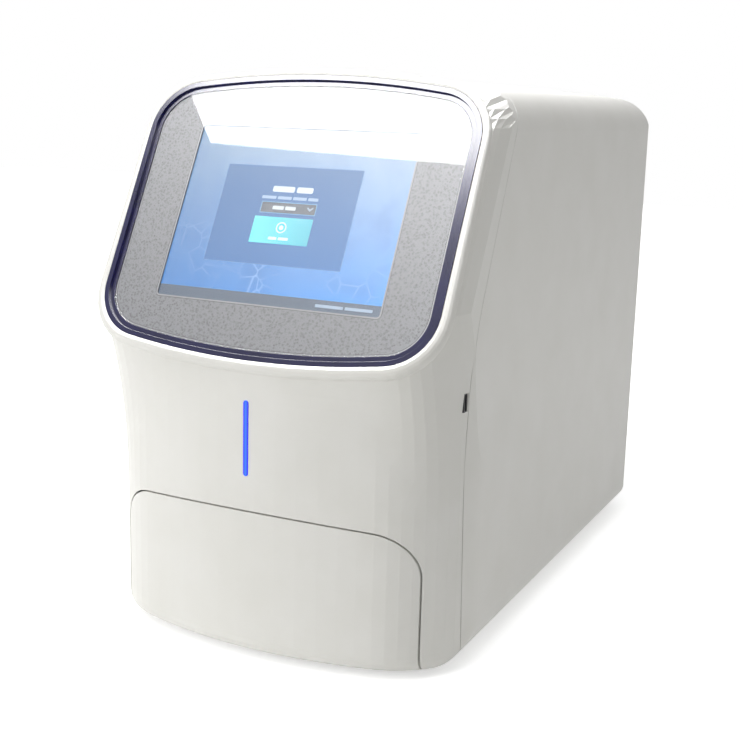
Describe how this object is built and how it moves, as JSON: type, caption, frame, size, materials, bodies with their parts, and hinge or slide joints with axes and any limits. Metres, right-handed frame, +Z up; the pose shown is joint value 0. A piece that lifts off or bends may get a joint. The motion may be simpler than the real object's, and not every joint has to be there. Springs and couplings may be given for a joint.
{
  "type": "gel documentation system",
  "caption": "Bench imager for gels and blots with a tilted colour touchscreen, a motorised sample drawer, a dark chamber and a cooled camera over a filter wheel.",
  "frame": {"origin": "centre of the bounding box on the bench, under the rubber feet", "axes": "+X to the right seen from the front, +Y towards the rear panel, +Z up; the display faces -Y"},
  "size_m": [0.376, 0.6398, 0.541],
  "materials": {
    "cover": "warm white fine-textured moulding",
    "pan": "grey powder coat",
    "foot_rubber": "black moulded rubber",
    "fastener": "bright zinc",
    "frame_sheet": "zinc-plated sheet",
    "ring": "navy moulding",
    "cover_glass": "clear glass",
    "bezel": "faceted dark grey print",
    "screen": "lit colour screen",
    "circuit": "green circuit board",
    "light_bar": "lit blue lens",
    "socket_plastic": "black connector moulding",
    "tray_sheet": "brushed stainless sheet",
    "foam": "black cellular foam",
    "rack_plastic": "natural acetal",
    "slide_steel": "cold-rolled zinc plate",
    "gear_brass": "machined brass",
    "motor_can": "dark gearmotor can",
    "machined": "machined aluminium",
    "lamp_board": "white lamp board",
    "stage_black": "black moulding",
    "diffuser": "opal acrylic",
    "sample_plate": "polished glass",
    "chamber_black": "flat black paint",
    "camera_body": "black anodised aluminium",
    "sink": "extruded aluminium",
    "rotor": "glass-filled black nylon",
    "lens_black": "black anodised barrel",
    "wheel_black": "black anodised wheel",
    "filter_glass": "coated filter glass",
    "pinion_plastic": "natural acetal",
    "supply_case": "pressed case",
    "panel_paint": "light grey powder coat",
    "wire": "bright nickel wire",
    "switch_black": "black switch moulding",
    "socket_shell": "nickel-plated shells"
  },
  "bodies": {
    "casing": {"front_cover": "cover", "main_cover": "cover", "base_pan": "pan", "rubber_feet": "foot_rubber", "foot_screws": "fastener", "side_frame_left": "frame_sheet", "side_frame_right": "frame_sheet", "camera_shelf": "frame_sheet", "display_ring": "ring", "display_glass": "cover_glass", "display_bezel": "bezel", "screen_panel": "screen", "screen_bracket": "frame_sheet", "screen_board": "circuit", "light_bar_lens": "light_bar", "light_bar_board": "circuit", "side_socket": "socket_plastic", "slide_outer_left": "slide_steel", "slide_outer_right": "slide_steel", "drive_motor": "motor_can", "dark_chamber": "chamber_black", "epi_lamp_left": "diffuser", "epi_lamp_right": "diffuser", "camera_bracket": "machined", "camera_housing": "camera_body", "camera_heat_sink": "sink", "lens_barrel": "lens_black", "filter_axle": "machined", "filter_motor": "motor_can", "main_board": "circuit", "power_supply": "supply_case", "rear_panel": "panel_paint", "rear_screws": "fastener", "rear_fan_frame": "rotor", "rear_fan_guard": "wire", "mains_inlet": "socket_plastic", "switch_housing": "switch_black", "data_sockets": "socket_shell"},
    "drawer": {"drawer_front": "cover", "drawer_tray": "tray_sheet", "drawer_seal": "foam", "drawer_rack": "rack_plastic", "slide_inner_left": "slide_steel", "slide_inner_right": "slide_steel", "turntable_bearing": "machined"},
    "slide_runners": {"slide_middle_left": "slide_steel", "slide_middle_right": "slide_steel"},
    "drawer_pinion": {"drive_pinion": "gear_brass"},
    "stage": {"turntable": "machined", "stage_lamp_board": "lamp_board", "stage_box": "stage_black", "stage_diffuser": "diffuser", "sample_glass": "sample_plate"},
    "filter_turret": {"filter_wheel": "wheel_black", "filters": "filter_glass"},
    "turret_pinion": {"filter_pinion": "pinion_plastic"},
    "lens_focus": {"focus_ring": "lens_black"},
    "camera_fan": {"camera_fan_rotor": "rotor"},
    "rear_fan": {"rear_fan_rotor": "rotor"},
    "power_rocker": {"switch_rocker": "switch_black"}
  },
  "joints": [
    {"name": "drawer_slide", "type": "slide", "parent": "casing", "child": "drawer", "axis": [0, -1, 0], "range_m": [0, 0.3]},
    {"name": "runner_slide", "type": "slide", "parent": "casing", "child": "slide_runners", "axis": [0, -1, 0], "range_m": [0, 0.15]},
    {"name": "pinion_spin", "type": "hinge", "parent": "casing", "child": "drawer_pinion", "pos_m": [0.06, -0.251, 0.03], "axis": [1, 0, 0], "continuous": true},
    {"name": "stage_turn", "type": "hinge", "parent": "drawer", "child": "stage", "pos_m": [0, -0.115, 0.055], "axis": [0, 0, 1], "range_deg": [-10, 10]},
    {"name": "turret_turn", "type": "hinge", "parent": "casing", "child": "filter_turret", "pos_m": [0, -0.065, 0.406], "axis": [0, 0, 1], "continuous": true},
    {"name": "turret_pinion_spin", "type": "hinge", "parent": "casing", "child": "turret_pinion", "pos_m": [0, 0.018, 0.406], "axis": [0, 0, 1], "continuous": true},
    {"name": "focus_turn", "type": "hinge", "parent": "casing", "child": "lens_focus", "pos_m": [0, -0.115, 0.431], "axis": [0, 0, 1], "range_deg": [-120, 120]},
    {"name": "camera_fan_spin", "type": "hinge", "parent": "casing", "child": "camera_fan", "pos_m": [0, -0.115, 0.515], "axis": [0, 0, 1], "continuous": true},
    {"name": "rear_fan_spin", "type": "hinge", "parent": "casing", "child": "rear_fan", "pos_m": [0.07, 0.303, 0.37434], "axis": [0, 1, 0], "continuous": true},
    {"name": "power_switch", "type": "hinge", "parent": "casing", "child": "power_rocker", "pos_m": [-0.07, 0.311, 0.078], "axis": [1, 0, 0], "range_deg": [-18, 0]}
  ],
  "couplings": [
    {"joint": "runner_slide", "follows": "drawer_slide", "ratio": 0.5},
    {"joint": "pinion_spin", "follows": "drawer_slide", "rad_per_m": 100},
    {"joint": "turret_pinion_spin", "follows": "turret_turn", "ratio": -5.9167}
  ]
}
